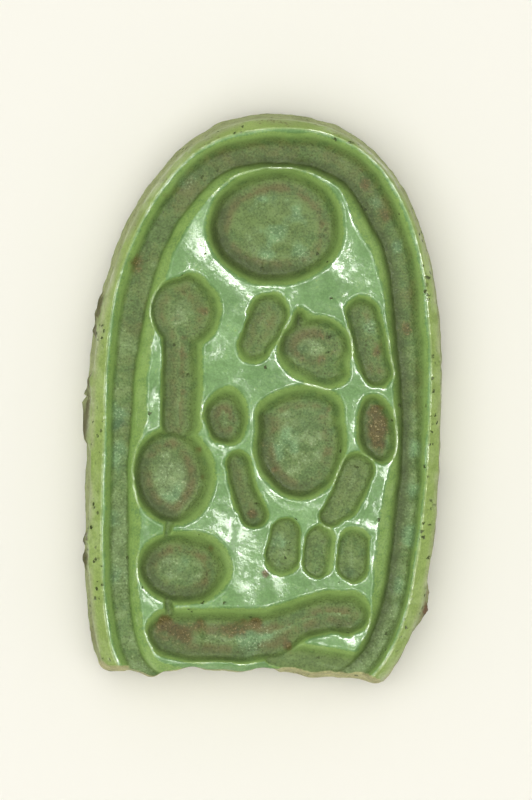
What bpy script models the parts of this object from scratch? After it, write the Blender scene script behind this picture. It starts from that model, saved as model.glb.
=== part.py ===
"""The bezel of an ancient Egyptian finger ring, moulded in quartz faience and glazed green.

It is a long oval plate with a rounded top. Its lower end is broken off, and its hoop is lost but for
two low roots on the back. The face has a sunk border channel inside a rounded rim, and rows of plain
sunk pits and strokes. The ring lies on its hoop roots with its face up.

Units are metres, +Z points out of the face and +Y to the rounded end. The origin is on the surface
that the bezel lies on, under the middle of its outline.
"""

import math
from collections import namedtuple

import bmesh
import bpy
from mathutils import Matrix, Vector

MM = 0.001

# The plate is a long oval: a superellipse that is squarer or rounder in each of its quarters.
# The border channel follows a second oval, which ran on past the broken end.
Oval = namedtuple("Oval", "half_width top_reach bottom_reach squareness")
Quarters = namedtuple("Quarters", "top_left top_right bottom_left bottom_right")
SQUARENESS = Quarters(2.08, 2.48, 5.00, 3.05)
HALF_WIDTH = 6.63 * MM
TOP_REACH = 11.06 * MM
PLATE_OVAL = Oval(HALF_WIDTH, TOP_REACH, 11.80 * MM, SQUARENESS)
OVAL_CENTRE = Vector((0.18 * MM, -0.45 * MM))
OVAL_LEAN = math.radians(1.4)
OUTLINE_STEP = 0.62 * MM

# The plate's thickness, and how its side walls spread towards the back.
ROOT_HEIGHT = 0.70 * MM
PLATE_THICKNESS = 3.10 * MM
FACE_Z = ROOT_HEIGHT + PLATE_THICKNESS
BACK_SPREAD = 0.13 * MM
BACK_SHIFT = Vector((-0.12 * MM, 0.12 * MM))
EDGE_ROUNDING = 0.38 * MM
EDGE_SEGMENTS = 3

# The border channel that follows the outline.
CHANNEL_INSET = 0.88 * MM
CHANNEL_OVAL = Oval(HALF_WIDTH - CHANNEL_INSET, TOP_REACH - CHANNEL_INSET, 11.50 * MM, SQUARENESS)
CHANNEL_HALF_WIDTH = 0.50 * MM
CHANNEL_DEPTH = 0.62 * MM
CHANNEL_STEP = 0.80 * MM

# The sunk pits and strokes.
PIT_DEPTH = 0.62 * MM
PIT_WALL_RUN = 0.36 * MM
PIT_SEGMENTS = 32
STROKE_DEPTH = 0.55 * MM
STROKE_END_ANGLES = (10, 35, 62, 90)
TUBE_RESOLUTION = 3
CUTTER_CLEARANCE = 0.40 * MM
TROUGH_LIFT_SHARE = 0.30

# The broken lower end: its mean line, its curl at the right, a spur and the waves along it.
BREAK_Y = -10.26 * MM
BREAK_CURL = 0.020 / MM
BREAK_WAVES = ((0.055 * MM, 3.1 * MM, 0.4), (0.035 * MM, 1.3 * MM, 1.9))
SPUR_X = -4.12 * MM
SPUR_REACH = 0.24 * MM
SPUR_HALF_WIDTH = 0.34 * MM
BREAK_POINTS = 40
BREAK_SPAN = 8.0 * MM
BREAK_LEAN = 0.07

# The roots of the lost hoop, on the back at both long sides.
ROOT_LENGTH = 3.8 * MM
ROOT_REACH = 2.7 * MM
ROOT_Y = -0.95 * MM
ROOT_SPREAD = 0.55 * MM
LEFT_ROOT_OVERHANG = 0.22 * MM
RIGHT_ROOT_OVERHANG = -0.18 * MM
ROOT_EMBED = 0.75 * MM
ROOT_ROUNDING = 0.22 * MM

GLAZE_GREEN = (0.195, 0.345, 0.130, 1.0)
GLAZE_ROUGHNESS = 0.22

# Pits: centre x and y, half width, half height (all in mm) and turn in degrees.
PITS = {
    "disc": (0.60, 6.65, 2.52, 2.02, 0),
    "upper_middle": (2.18, 2.00, 1.28, 1.05, 0),
    "large_middle": (1.52, -1.62, 1.56, 1.98, 0),
    "small_left": (-1.36, -0.58, 0.74, 0.98, 0),
    "small_right": (4.47, -1.15, 0.62, 1.12, 7),
    "left_egg": (-3.42, -3.02, 1.24, 1.62, 0),
    "left_round": (-3.02, -6.48, 1.58, 1.32, 0),
}

# Strokes: start and end in mm, then the half width at each.
STROKES = {
    "left_upright": ((-2.98, 4.70), (-3.14, -1.10), 1.12, 0.68),
    "slant_left_high": ((0.34, 3.84), (-0.72, 0.86), 0.76, 0.66),
    "upright_right_high": ((3.98, 3.66), (4.44, 0.66), 0.66, 0.66),
    "slant_left_low": ((-0.98, -1.98), (-0.28, -4.86), 0.50, 0.58),
    "slant_right_low": ((3.80, -2.16), (2.80, -4.60), 0.56, 0.52),
    "short_first": ((0.90, -4.62), (0.80, -6.56), 0.64, 0.66),
    "short_second": ((2.24, -4.90), (2.16, -6.76), 0.58, 0.60),
    "short_third": ((3.54, -4.90), (3.52, -7.02), 0.58, 0.62),
    "foot_line": ((0.60, -9.76), (3.70, -10.28), 0.30, 0.34),
}

# The long wavy stroke near the lower end. It runs level, then rises to the right.
WAVE_LEFT = -4.15 * MM
WAVE_RIGHT = 4.10 * MM
WAVE_Y = -9.26 * MM
WAVE_RISE = 1.06 * MM
WAVE_RISE_FROM = -0.4 * MM
WAVE_RISE_RUN = 3.3 * MM
WAVE_LEFT_LIFT = 0.45 * MM
WAVE_LIFT_FROM = -1.9 * MM
WAVE_LIFT_RUN = 1.7 * MM
WAVE_HALF_WIDTH = 0.76 * MM
WAVE_POINTS = 15


def clear_scene():
    for obj in list(bpy.data.objects):
        bpy.data.objects.remove(obj)


def new_collection(name):
    collection = bpy.data.collections.new(name)
    bpy.context.scene.collection.children.link(collection)
    return collection


def signed_power(value, power):
    return math.copysign(abs(value) ** power, value)


def oval_point(oval, angle):
    """The point of an oval at an angle from its right side."""
    side, rise = math.cos(angle), math.sin(angle)
    if rise >= 0:
        reach = oval.top_reach
        squareness = oval.squareness.top_left if side < 0 else oval.squareness.top_right
    else:
        reach = oval.bottom_reach
        squareness = oval.squareness.bottom_left if side < 0 else oval.squareness.bottom_right
    upright = Vector((
        oval.half_width * signed_power(side, 2 / squareness),
        reach * signed_power(rise, 2 / squareness),
    ))
    return OVAL_CENTRE + Matrix.Rotation(-OVAL_LEAN, 2) @ upright


def evenly_spaced(points, step):
    """The same open line through points that lie about a step apart."""
    lengths = [0.0]
    for a, b in zip(points, points[1:]):
        lengths.append(lengths[-1] + (b - a).length)
    count = max(2, round(lengths[-1] / step))
    spaced, leg = [], 0
    for i in range(count + 1):
        wanted = lengths[-1] * i / count
        while leg < len(points) - 2 and lengths[leg + 1] < wanted:
            leg += 1
        share = (wanted - lengths[leg]) / max(lengths[leg + 1] - lengths[leg], 1e-12)
        spaced.append(points[leg].lerp(points[leg + 1], min(max(share, 0.0), 1.0)))
    return spaced


def oval_line(oval, step, start=0.0):
    """The closed oval as evenly spaced points, all the way round from an angle."""
    fine = [oval_point(oval, start + math.tau * i / 720) for i in range(721)]
    return evenly_spaced(fine, step)[:-1]


def poly_curve(name, points, radii, cyclic):
    """A curve object of straight legs through 2D points at z = 0."""
    data = bpy.data.curves.new(name, "CURVE")
    spline = data.splines.new("POLY")
    spline.points.add(len(points) - 1)
    for place, point, radius in zip(spline.points, points, radii):
        place.co = (point.x, point.y, 0.0, 1.0)
        place.radius = radius
    spline.use_cyclic_u = cyclic
    obj = bpy.data.objects.new(name, data)
    bpy.context.scene.collection.objects.link(obj)
    return obj


def made_mesh(curve, collection):
    """The curve as a welded mesh object in a collection, in place of the curve."""
    bpy.context.view_layer.update()
    evaluated = curve.evaluated_get(bpy.context.evaluated_depsgraph_get())
    mesh = bpy.data.meshes.new_from_object(evaluated)
    bm = bmesh.new()
    bm.from_mesh(mesh)
    bmesh.ops.remove_doubles(bm, verts=bm.verts, dist=0.001 * MM)
    bmesh.ops.recalc_face_normals(bm, faces=bm.faces)
    bm.to_mesh(mesh)
    bm.free()
    name, place = curve.name, curve.matrix_world.copy()
    bpy.data.objects.remove(curve)
    obj = bpy.data.objects.new(name, mesh)
    obj.matrix_world = place
    collection.objects.link(obj)
    return obj


def extruded(name, points, low, high, collection):
    """A flat outline given a thickness, from one height to another."""
    curve = poly_curve(name, points, [1.0] * len(points), True)
    curve.data.dimensions = "2D"
    curve.data.fill_mode = "BOTH"
    curve.data.extrude = (high - low) / 2
    obj = made_mesh(curve, collection)
    obj.data.transform(Matrix.Translation((0, 0, (high + low) / 2)))
    return obj


def trough_cutter(name, points, half_widths, depth, collection):
    """A tube along a line, with its middle a little above the face, so that it cuts a trough.

    The half widths are those of the trough where it meets the face.
    """
    widest = max(half_widths)
    curve = poly_curve(name, points, [w / widest for w in half_widths], False)
    curve.data.dimensions = "3D"
    curve.data.bevel_depth = widest / math.sqrt(1 - TROUGH_LIFT_SHARE**2)
    curve.data.bevel_resolution = TUBE_RESOLUTION
    curve.data.use_fill_caps = True
    tube_height = depth / (1 - TROUGH_LIFT_SHARE)
    flattening = tube_height / curve.data.bevel_depth
    obj = made_mesh(curve, collection)
    obj.data.transform(Matrix.Scale(flattening, 4, (0, 0, 1)))
    obj.data.transform(Matrix.Translation((0, 0, FACE_Z + TROUGH_LIFT_SHARE * tube_height)))
    return obj


def pit_cutter(name, x, y, half_x, half_y, turn, collection):
    """A truncated cone with an oval plan: a flat floor and a sloping wall."""
    rise = PIT_DEPTH + CUTTER_CLEARANCE
    run_above = PIT_WALL_RUN * CUTTER_CLEARANCE / PIT_DEPTH
    mean = math.sqrt(half_x * half_y)
    bm = bmesh.new()
    bmesh.ops.create_cone(
        bm,
        cap_ends=True,
        segments=PIT_SEGMENTS,
        radius1=1 - PIT_WALL_RUN / mean,
        radius2=1 + run_above / mean,
        depth=rise,
    )
    mesh = bpy.data.meshes.new(name)
    bm.to_mesh(mesh)
    bm.free()
    mesh.transform(Matrix.Diagonal((half_x, half_y, 1, 1)))
    mesh.transform(Matrix.Rotation(math.radians(turn), 4, "Z"))
    mesh.transform(Matrix.Translation((x, y, FACE_Z - PIT_DEPTH + rise / 2)))
    obj = bpy.data.objects.new(name, mesh)
    collection.objects.link(obj)
    return obj


def stroke_line(start, end, start_width, end_width):
    """The centre line of a straight stroke with round ends, and its half width along it."""
    start, end = Vector(start) * MM, Vector(end) * MM
    start_width, end_width = start_width * MM, end_width * MM
    along = (end - start).normalized()
    points, widths = [], []
    for degrees in STROKE_END_ANGLES:
        turn = math.radians(degrees)
        points.append(start + along * start_width * (1 - math.cos(turn)))
        widths.append(start_width * math.sin(turn))
    for degrees in reversed(STROKE_END_ANGLES):
        turn = math.radians(degrees)
        points.append(end - along * end_width * (1 - math.cos(turn)))
        widths.append(end_width * math.sin(turn))
    return points, widths


def smooth_step(value):
    """0 up to 0, 1 from 1 on, and an even rise between."""
    value = min(max(value, 0.0), 1.0)
    return value * value * (3 - 2 * value)


def wave_line():
    """The centre line of the long wavy stroke, and its half width along it."""
    points, widths = [], []
    for i in range(WAVE_POINTS):
        around = math.pi * i / (WAVE_POINTS - 1)
        x = WAVE_LEFT + (WAVE_RIGHT - WAVE_LEFT) * (1 - math.cos(around)) / 2
        rise = WAVE_RISE * smooth_step((x - WAVE_RISE_FROM) / WAVE_RISE_RUN)
        lift = WAVE_LEFT_LIFT * smooth_step((WAVE_LIFT_FROM - x) / WAVE_LIFT_RUN)
        to_end = max(min(x - WAVE_LEFT, WAVE_RIGHT - x) / WAVE_HALF_WIDTH, 0.0)
        roundness = math.sqrt(1 - (1 - min(to_end, 1.0)) ** 2)
        points.append(Vector((x, WAVE_Y + rise + lift)))
        widths.append(max(WAVE_HALF_WIDTH * roundness, 0.1 * WAVE_HALF_WIDTH))
    return points, widths


def break_y(x):
    """How far down the broken lower end reaches at x."""
    curl = BREAK_CURL * max(x, 0.0) ** 2
    spur = SPUR_REACH * math.exp(-(((x - SPUR_X) / SPUR_HALF_WIDTH) ** 2))
    waves = sum(size * math.sin(math.tau * x / length + phase) for size, length, phase in BREAK_WAVES)
    return BREAK_Y - curl - spur + waves


def lost_end(collection):
    """The cutter that takes off the lost lower end. Its face leans out towards the back."""
    edge = []
    for i in range(BREAK_POINTS + 1):
        x = BREAK_SPAN * (2 * i / BREAK_POINTS - 1)
        edge.append(Vector((x, break_y(x))))
    below = BREAK_Y - 3 * MM
    edge += [Vector((BREAK_SPAN, below)), Vector((-BREAK_SPAN, below))]
    cutter = extruded("lost_end", edge, -MM, FACE_Z + MM, collection)
    for vertex in cutter.data.vertices:
        vertex.co.y -= BREAK_LEAN * (FACE_Z - vertex.co.z)
    return cutter


def add_cut(obj, cutter):
    """Cuts a helper out of a piece with a Boolean and hides the helper."""
    cut = obj.modifiers.new("Cut " + cutter.name, "BOOLEAN")
    cut.operation = "DIFFERENCE"
    cut.object = cutter
    hide_helper(cutter)


def hide_helper(obj):
    obj.hide_render = True
    obj.display_type = "WIRE"


def glaze_material():
    material = bpy.data.materials.new("Green faience glaze")
    material.use_nodes = True
    shader = material.node_tree.nodes["Principled BSDF"]
    shader.inputs["Base Color"].default_value = GLAZE_GREEN
    shader.inputs["Roughness"].default_value = GLAZE_ROUGHNESS
    shader.inputs["Metallic"].default_value = 0.0
    return material


def plate(collection):
    """The oval plate: its walls spread to the back, and its edges are rounded."""
    outline = oval_line(PLATE_OVAL, OUTLINE_STEP)
    obj = extruded("ring_bezel", outline, ROOT_HEIGHT, FACE_Z, collection)
    for vertex in obj.data.vertices:
        if vertex.co.z < (ROOT_HEIGHT + FACE_Z) / 2:
            flat = Vector((vertex.co.x, vertex.co.y))
            flat += flat.normalized() * BACK_SPREAD + BACK_SHIFT
            vertex.co.x, vertex.co.y = flat
    rounding = obj.modifiers.new("Rounded edges", "BEVEL")
    rounding.width = EDGE_ROUNDING
    rounding.segments = EDGE_SEGMENTS
    rounding.limit_method = "ANGLE"
    rounding.angle_limit = math.radians(40)
    return obj


def hoop_root(name, side, overhang, collection):
    """The low stump of the hoop on the back, at one long side. It narrows to its foot."""
    outer = HALF_WIDTH + overhang
    bm = bmesh.new()
    bmesh.ops.create_cube(bm, size=1.0)
    height = ROOT_HEIGHT + ROOT_EMBED
    for vertex in bm.verts:
        at_foot = vertex.co.z < 0
        inward = vertex.co.x < 0
        draw_in = ROOT_SPREAD if at_foot else 0.0
        x = outer - ROOT_REACH + draw_in if inward else outer - draw_in * 0.5
        y = ROOT_Y + vertex.co.y * (ROOT_LENGTH - draw_in)
        vertex.co = (side * x, y, 0.0 if at_foot else height)
    bmesh.ops.recalc_face_normals(bm, faces=bm.faces)
    bmesh.ops.bevel(bm, geom=bm.edges, offset=ROOT_ROUNDING, segments=2, profile=0.5, affect="EDGES")
    mesh = bpy.data.meshes.new(name)
    bm.to_mesh(mesh)
    bm.free()
    obj = bpy.data.objects.new(name, mesh)
    collection.objects.link(obj)
    return obj


def build_bezel(parts, helpers):
    bezel = plate(parts)

    for name, side, overhang in (
        ("left_hoop_root", -1, LEFT_ROOT_OVERHANG),
        ("right_hoop_root", 1, RIGHT_ROOT_OVERHANG),
    ):
        root = hoop_root(name, side, overhang, helpers)
        join = bezel.modifiers.new("Join " + name, "BOOLEAN")
        join.operation = "UNION"
        join.object = root
        hide_helper(root)

    channel = oval_line(CHANNEL_OVAL, CHANNEL_STEP, start=-math.pi / 2)
    widths = [CHANNEL_HALF_WIDTH] * len(channel)
    add_cut(bezel, trough_cutter("border_channel", channel, widths, CHANNEL_DEPTH, helpers))

    for name, (x, y, half_x, half_y, turn) in PITS.items():
        pit = pit_cutter(name, x * MM, y * MM, half_x * MM, half_y * MM, turn, helpers)
        add_cut(bezel, pit)
    for name, (start, end, start_width, end_width) in STROKES.items():
        points, widths = stroke_line(start, end, start_width, end_width)
        add_cut(bezel, trough_cutter(name, points, widths, STROKE_DEPTH, helpers))
    points, widths = wave_line()
    add_cut(bezel, trough_cutter("long_wave", points, widths, STROKE_DEPTH, helpers))

    add_cut(bezel, lost_end(helpers))
    return bezel


def main():
    clear_scene()
    parts = new_collection("Finger ring bezel")
    helpers = new_collection("Cutters and joined helpers")
    bezel = build_bezel(parts, helpers)
    bezel.data.materials.append(glaze_material())


main()
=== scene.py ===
"""The finished look of an ancient Egyptian ring bezel, moulded in quartz faience and glazed green.

The bezel is one fired body, so it is one piece here. A blank is cut from two fine grids joined by a
wall, and it is then pressed as the ring maker's mould pressed the paste: a rounded rim, a border
channel, and rows of plain sunk pits and strokes. The glaze is a procedural material that follows the
relief. It is pale where it lies thick on the field, lime green on the slopes, and matt, gritty and
stained in the hollows.

The relief is worked out in millimetres and made metres at the end. The frame gives the sizes.
"""

import math
from collections import namedtuple

import bpy
import numpy as np
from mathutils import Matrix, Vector, kdtree


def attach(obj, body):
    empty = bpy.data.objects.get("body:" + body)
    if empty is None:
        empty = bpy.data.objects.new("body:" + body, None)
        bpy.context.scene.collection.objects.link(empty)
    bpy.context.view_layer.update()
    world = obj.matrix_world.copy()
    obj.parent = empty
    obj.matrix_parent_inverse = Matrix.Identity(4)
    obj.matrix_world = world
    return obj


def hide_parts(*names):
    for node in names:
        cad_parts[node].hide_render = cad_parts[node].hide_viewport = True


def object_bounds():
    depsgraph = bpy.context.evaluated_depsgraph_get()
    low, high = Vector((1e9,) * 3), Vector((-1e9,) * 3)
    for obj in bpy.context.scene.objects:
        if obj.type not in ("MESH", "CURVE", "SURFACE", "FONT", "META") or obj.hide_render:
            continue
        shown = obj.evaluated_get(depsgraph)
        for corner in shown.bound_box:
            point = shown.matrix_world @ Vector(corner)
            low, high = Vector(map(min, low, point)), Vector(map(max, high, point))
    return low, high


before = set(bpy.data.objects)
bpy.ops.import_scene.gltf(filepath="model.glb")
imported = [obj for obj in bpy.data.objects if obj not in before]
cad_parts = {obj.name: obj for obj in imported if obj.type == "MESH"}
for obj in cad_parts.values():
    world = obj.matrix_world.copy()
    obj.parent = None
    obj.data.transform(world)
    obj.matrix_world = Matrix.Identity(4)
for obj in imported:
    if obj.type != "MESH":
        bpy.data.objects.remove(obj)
cad_low, cad_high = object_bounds()

MM = 0.001
FACE_Z = cad_high.z / MM

# The level of the field before its swells and sags, in mm. The highest swell ends about 0.10 above the
# top of the CAD's box.
FIELD_Z = FACE_Z - 0.20

# The plan of the plate, in mm: a leaning oval, squarer or rounder in each quarter.
Quarters = namedtuple("Quarters", "top_left top_right bottom_left bottom_right")
SQUARENESS = Quarters(2.08, 2.48, 5.00, 3.05)
HALF_WIDTH = 6.63
TOP_REACH = 11.06
BOTTOM_REACH = 11.80
OVAL_CENTRE = (0.18, -0.45)
OVAL_LEAN = math.radians(1.4)
OVAL_STEPS = 2880

# The broken lower end, in mm: its mean line, its curl down at the right and up at the left corner, a spur
# and the waves along it. The last two say how it is drawn.
BREAK_Y = -10.36
BREAK_CURL = 0.020
CORNER_X = -5.55
CORNER_CURL = 0.9
BREAK_WAVES = ((0.055, 3.1, 0.4), (0.035, 1.3, 1.9))
SPUR_X = -4.12
SPUR_REACH = 0.24
SPUR_HALF_WIDTH = 0.34
BREAK_SPAN = 7.5
BREAK_STEPS = 1500

# Which part of the outline is the broken end, in mm: how far it reaches above the mean line, over how much
# of its height it fades out there, and its half width.
BROKEN_RISE = 0.5
BROKEN_FADE = 0.4
BROKEN_HALF_WIDTH = 6.2

# Where the break is bare paste, from x to x in mm. The glaze ran over the rest before it was fired.
# The bare stretches lean out more towards the back, and a thin bare edge shows on the face above them.
BARE_STRETCHES = ((-7.0, -4.9), (0.5, 4.7))
BARE_FADE = 0.3
BARE_LEAN = 0.19
BARE_EDGE = 0.09
BARE_EDGE_FADE = 0.06
BARE_DROP = 0.08
GLAZED_LEAN = 0.04
GLAZED_LIP_RUN = 0.42
GLAZED_LIP_DROP = 0.34
GLAZED_LIP_ROUNDING = 0.3
GLAZED_LIP_FOOT = 0.04

# The side walls, in mm: how far they spread towards the back, how far the whole back is shifted, the
# rounding of the back edge, the back's height, and the walls' own height. A wall starts out with a share
# of its spread.
BACK_SPREAD = 0.13
BACK_SHIFT = (-0.08, 0.12)
BACK_ROUNDING = 0.22
BACK_EDGE_RISE = 0.6 * BACK_ROUNDING
PLATE_BACK_Z = 0.70
WALL_HEIGHT = 2.8
WALL_START = 0.12

# The blank's grids, in mm.
FACE_CELL = 0.0625
BACK_CELL = 0.125
WALL_RINGS = 12
MERGE_SHARE = 0.35

# The rim and the border channel: insets from the outline in mm, at angles about the origin in degrees.
RIM_CREST = (
    (-62, 0.42), (-48, 0.56), (-20, 0.45), (5, 0.37), (25, 0.38), (45, 0.24), (62, 0.14),
    (80, 0.29), (92, 0.41), (105, 0.26), (145, 0.30), (165, 0.44), (188, 0.50), (205, 0.47),
    (218, 0.46), (232, 0.50), (242, 0.50),
)
CHANNEL_FOOT = (
    (-66, 1.32), (-52, 1.42), (-10, 1.38), (20, 1.56), (40, 1.55), (52, 1.50), (66, 1.56),
    (87, 1.62), (102, 1.48), (118, 1.48), (135, 1.45), (153, 1.46), (180, 1.44), (210, 1.31),
    (240, 1.41),
)
FIELD_LIP = (
    (-66, 1.60), (-57, 2.16), (-45, 2.18), (-22, 1.80), (-5, 1.78), (20, 1.92), (45, 2.00),
    (62, 2.22), (70, 1.92), (87, 1.90), (102, 1.96), (118, 1.98), (150, 2.12), (192, 2.16),
    (206, 1.80), (226, 2.06), (236, 1.86), (248, 2.00),
)
RIM_DROP = 0.40
CHANNEL_DEPTH = 0.62

# How wide the channel's outer wall is (mm), at angles in degrees.
OUTER_RUN = (
    (-62, 0.40), (-45, 0.38), (-25, 0.48), (0, 0.68), (30, 0.71), (60, 0.69), (90, 0.66), (120, 0.60),
    (150, 0.50), (180, 0.42), (210, 0.42), (242, 0.45),
)

# Sunk pits: the middle, the half width and half height of the lip (mm), its turn (degrees), the depth.
Pit = namedtuple("Pit", "x y half_width half_height turn depth")
PITS = {
    "disc": Pit(0.55, 6.53, 2.68, 2.27, 0, 0.84),
    "upper_notch": Pit(1.48, 3.02, 0.34, 0.46, 0, 0.68),
    "upper_middle": Pit(2.04, 1.90, 1.46, 1.28, 0, 0.68),
    "upper_foot": Pit(2.52, 0.92, 0.86, 0.62, 0, 0.68),
    "large_middle": Pit(1.50, -1.77, 1.78, 2.16, 0, 0.74),
    "large_shoulder": Pit(1.46, -0.52, 1.66, 0.96, 8, 0.74),
    "small_left": Pit(-1.33, -0.72, 0.90, 1.14, 0, 0.64),
    "small_right": Pit(4.42, -1.22, 0.82, 1.40, 8, 0.66),
    "left_egg": Pit(-3.38, -2.98, 1.60, 1.92, 0, 0.74),
    "left_round": Pit(-2.95, -6.48, 1.84, 1.46, 0, 0.74),
}

# Pits that run into a larger one, so that the two are pressed as one mark, and how round their neck is.
JOINED = {"upper_notch": "upper_middle", "upper_foot": "upper_middle", "large_shoulder": "large_middle"}
NECK_ROUNDING = 0.40

# Sunk strokes: the stations (x, y, half width at the lip, in mm) along the middle, and the depth.
Stroke = namedtuple("Stroke", "stations depth")
STROKES = {
    "left_upright": Stroke((
        (-2.74, 4.05, 0.76), (-2.94, 3.30, 1.40), (-3.08, 2.25, 0.80), (-3.08, 1.80, 0.78),
        (-3.08, -0.95, 0.80),
    ), 0.56),
    "slant_left_high": Stroke(((0.32, 3.24, 0.78), (0.05, 2.60, 0.80), (-0.30, 1.95, 0.66)), 0.54),
    "upright_right_high": Stroke(((3.88, 3.14, 0.72), (4.42, 1.06, 0.70)), 0.58),
    "slant_left_low": Stroke(((-0.88, -2.55, 0.52), (-0.56, -3.70, 0.56), (-0.22, -4.50, 0.60)), 0.54),
    "slant_right_low": Stroke(((3.68, -2.78, 0.69), (3.12, -3.90, 0.62), (2.66, -4.52, 0.50)), 0.48),
    "short_first": Stroke(((0.96, -5.18, 0.62), (0.80, -6.05, 0.72)), 0.42),
    "short_second": Stroke(((2.24, -5.45, 0.58), (2.14, -6.30, 0.60)), 0.40),
    "short_third": Stroke(((3.56, -5.52, 0.62), (3.50, -6.36, 0.66)), 0.42),
    "wavy_line": Stroke((
        (-3.50, -8.93, 0.92), (-2.60, -9.06, 1.00), (-0.80, -9.12, 1.04), (0.40, -9.04, 0.98),
        (1.50, -8.50, 0.84), (2.60, -8.20, 0.86), (3.35, -8.22, 0.87),
    ), 0.62),
    "egg_neck": Stroke(((-3.46, -4.60, 0.20), (-3.60, -5.35, 0.16)), 0.34),
    "round_neck": Stroke(((-3.60, -7.50, 0.20), (-3.42, -8.30, 0.24)), 0.38),
    "foot_line": Stroke(((0.50, -9.80, 0.42), (1.60, -9.94, 0.54), (3.50, -10.30, 0.60)), 0.36),
}

# The side, in degrees from the right, where a mark has a long even slope under a sharp crease.
SOFT_SIDES = {
    "left_upright": 0, "left_egg": 0, "left_round": 20, "wavy_line": 90, "upper_middle": 270,
    "large_middle": 90, "small_left": 80, "slant_left_high": 250, "foot_line": 90,
    "short_first": 260, "short_second": 20, "short_third": 90,
}

# How a mark's wall falls from its lip. A wall is about 0.8 of its depth wide, and the rest is in mm.
# Walls that face up and right are the steepest, and the painted shade at their feet is the darkest.
STEEP_FACING = (0.80, 0.60)
WALL_RUN = 0.80
RUN_CHANGE = 0.07
SOFT_RUN = 0.18
SOFT_REACH = 1.3
FOOT_ROUNDING = 0.26
CHANNEL_FOOT_ROUNDING = 0.20

# How softly the lips are rounded over, in mm. It varies along each, and where the glaze is clear a lip is
# broad enough to hold a glint.
SHARP_LIP = 0.06
SOFT_LIP = 0.30
CLEAR_LIP = 0.24
LIP_CHANGE = 1.3
LIP_SOFT_MEAN = 0.55
LIP_SOFT_CHANGE = 1.1
SHOULDER_DROP = 0.07
SHOULDER_RUN = 0.40

# The channel's inner wall falls gently for most of its run, and then steeply to its foot.
INNER_WALL = ((0.00, 0.00), (0.05, 0.01), (0.66, 0.50), (0.80, 0.68), (0.96, 0.98), (1.00, 1.00))

# The higher, the further down the channel's walls the glaze stays lime green. The last is how lime green
# a wall is at the least.
INNER_SHINE = 3.0
OUTER_SHINE = 1.3
LIME = 0.15

# The rim's crest: its rounding in mm, which is less where the rim is narrow.
CREST_ROUNDING = 0.13
CREST_SHARE = 0.6
RIM_FOOT_SHARE = 0.1

# How far outside its drawn line a mark's lip starts, and the step that finds the way into a mark, in mm.
LIP_OUTSIDE = 0.10
INWARD_STEP = 0.05

# These keep the middle of a pit and the ridge of a stroke from a division by nothing.
LEAST_REACH = 0.02
LEAST_SLOPE = 0.01
LEAST_STEP = 1e-6

# Unevenness left by the moulding, in mm.
WARP = 0.09
WARP_GRAIN = 1.3
SWELL = 0.035
SWELL_GRAIN = 1.9
LUMPINESS = 0.016
LUMP_GRAIN = 0.55
GRIT = 0.030
GRIT_GRAIN = 0.32
WALL_ROUGH = 0.09
WALL_GRAIN = 0.9

# Broad swells and sags of the surface, in mm.
Swell = namedtuple("Swell", "x y radius rise")
SWELLS = (
    Swell(0.9, 6.75, 1.0, 0.16),
    Swell(1.6, -1.6, 0.75, 0.24),
    Swell(-2.90, 5.30, 1.20, 0.30),
    Swell(-1.55, 4.25, 0.70, 0.14),
    Swell(-0.55, 0.72, 0.50, -0.13),
    Swell(-1.75, -5.85, 1.00, 0.27),
    Swell(-1.05, -7.65, 0.80, 0.20),
    Swell(0.45, -7.45, 0.50, 0.11),
    Swell(2.70, 4.55, 0.62, 0.13),
    Swell(-4.32, 1.92, 0.27, 0.12),
    Swell(-4.45, -0.30, 0.30, 0.08),
    Swell(-4.55, -1.15, 0.25, 0.08),
    Swell(4.02, 4.08, 0.26, 0.06),
    Swell(-4.72, -5.12, 0.34, 0.08),
    Swell(-1.98, 1.92, 0.55, 0.18),
    Swell(-0.30, -1.20, 0.45, 0.08),
    Swell(-2.25, -0.55, 0.28, 0.07),
    Swell(-1.60, -1.85, 0.28, 0.06),
    Swell(4.62, -3.10, 0.32, 0.07),
    Swell(4.55, -4.20, 0.34, 0.12),
    Swell(4.38, -5.20, 0.28, 0.08),
    Swell(4.25, -6.40, 0.30, 0.08),
    Swell(3.45, -1.55, 0.28, 0.08),
    Swell(2.10, -9.15, 0.34, 0.10),
    Swell(3.20, -9.30, 0.34, 0.08),
    Swell(1.45, 8.80, 0.40, -0.16),
    Swell(-2.05, -9.00, 0.34, 0.20),
    Swell(3.74, -5.20, 0.44, 0.14),
)

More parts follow.
